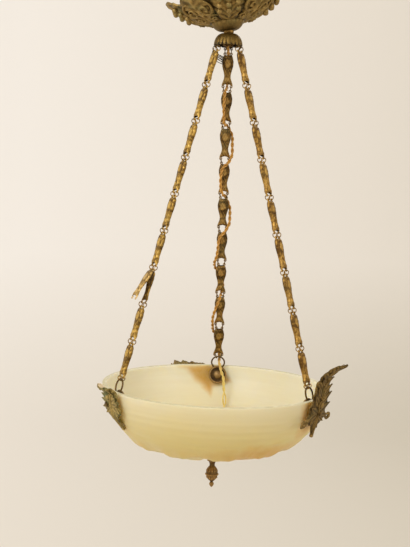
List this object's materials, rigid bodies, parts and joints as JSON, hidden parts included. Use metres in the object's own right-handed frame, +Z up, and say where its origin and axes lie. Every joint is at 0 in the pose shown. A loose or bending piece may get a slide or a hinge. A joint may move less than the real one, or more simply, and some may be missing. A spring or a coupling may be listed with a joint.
{
  "type": "pendant bowl light",
  "caption": "Glass pendant bowl light hung on decorated brass link chains from a fluted dome and leafy canopy, with a flex wound down the rear chain.",
  "frame": {"origin": "on the ceiling, on the pendant's axis, at the ceiling plate's upper face", "axes": "+Z up along the pendant's axis, +X to the right and +Y away from someone who faces the two front chains"},
  "size_m": [0.4114, 0.4445, 0.9025],
  "materials": {
    "gilt_brass": "satin",
    "dark_brass": "satin",
    "green_bronze": "satin",
    "steel": "satin",
    "terminal": "gloss",
    "satin_glass": "satin",
    "bulb_glass": "satin",
    "pads": "matte",
    "gold_flex": "gloss"
  },
  "bodies": {
    "ceiling": {"ceiling_plate": "steel", "ceiling_hook": "gilt_brass", "terminal_block": "terminal"},
    "hanging_ring": {"hanging_ring": "gilt_brass"},
    "stem": {"stem": "gilt_brass", "ball_washer": "gilt_brass", "dome": "green_bronze", "plate_nut": "steel"},
    "canopy": {"canopy": "green_bronze"},
    "pendant": {"chain_plate": "green_bronze", "left_link_1": "gilt_brass", "left_link_2": "gilt_brass", "left_link_3": "gilt_brass", "left_link_4": "gilt_brass", "left_link_5": "gilt_brass", "left_link_6": "gilt_brass", "left_link_7": "gilt_brass", "left_link_8": "gilt_brass", "left_link_9": "gilt_brass", "right_link_1": "gilt_brass", "right_link_2": "gilt_brass", "right_link_3": "gilt_brass", "right_link_4": "gilt_brass", "right_link_5": "gilt_brass", "right_link_6": "gilt_brass", "right_link_7": "gilt_brass", "right_link_8": "gilt_brass", "right_link_9": "gilt_brass", "rear_link_1": "dark_brass", "rear_link_2": "dark_brass", "rear_link_3": "dark_brass", "rear_link_4": "dark_brass", "rear_link_5": "dark_brass", "rear_link_6": "dark_brass", "rear_link_7": "dark_brass", "rear_link_8": "dark_brass", "rear_link_9": "dark_brass", "left_small_rings": "gilt_brass", "right_small_rings": "gilt_brass", "rear_small_rings": "dark_brass", "end_rings": "dark_brass", "bowl": "satin_glass", "left_bracket": "green_bronze", "right_bracket": "green_bronze", "hanger_hooks": "dark_brass", "bracket_bolts": "dark_brass", "bracket_pads": "pads", "inner_rosettes": "dark_brass", "bottom_rod": "gilt_brass", "rod_washers": "steel", "rod_nut": "steel", "lamp_bracket": "steel", "lampholder": "gilt_brass", "flex": "gold_flex"},
    "rear_bracket": {"rear_bracket": "green_bronze"},
    "loose_half_shell": {"loose_half_shell": "gilt_brass"},
    "finial": {"finial": "gilt_brass"},
    "bulb": {"bulb": "bulb_glass"}
  },
  "joints": [
    {"name": "ring_swing", "type": "hinge", "parent": "ceiling", "child": "hanging_ring", "pos_m": [0, 0, -0.035], "axis": [1, 0, 0], "range_deg": [-8, 8]},
    {"name": "stem_swing", "type": "hinge", "parent": "hanging_ring", "child": "stem", "pos_m": [0, 0, -0.0557], "axis": [0, 1, 0], "range_deg": [-8, 8]},
    {"name": "canopy_turn", "type": "hinge", "parent": "stem", "child": "canopy", "pos_m": [0, 0, -0.097], "axis": [0, 0, 1], "continuous": true},
    {"name": "pendant_turn", "type": "hinge", "parent": "stem", "child": "pendant", "pos_m": [0, 0, -0.117], "axis": [0, 0, 1], "range_deg": [-30, 30]},
    {"name": "rear_bracket_turn", "type": "hinge", "parent": "pendant", "child": "rear_bracket", "pos_m": [0.01242, 0.1974, -0.735], "axis": [0.0613, 0.9742, -0.2172], "range_deg": [-20, 90]},
    {"name": "loose_half_swing", "type": "hinge", "parent": "pendant", "child": "loose_half_shell", "pos_m": [-0.11584, -0.0575, -0.50786], "axis": [-0.4446, 0.8957, 0], "range_deg": [-12, 10]},
    {"name": "finial_turn", "type": "hinge", "parent": "pendant", "child": "finial", "pos_m": [0, 0, -0.86], "axis": [0, 0, 1], "continuous": true},
    {"name": "bulb_turn", "type": "hinge", "parent": "pendant", "child": "bulb", "pos_m": [0, 0.01, -0.7952], "axis": [0, 1, 0], "continuous": true}
  ]
}
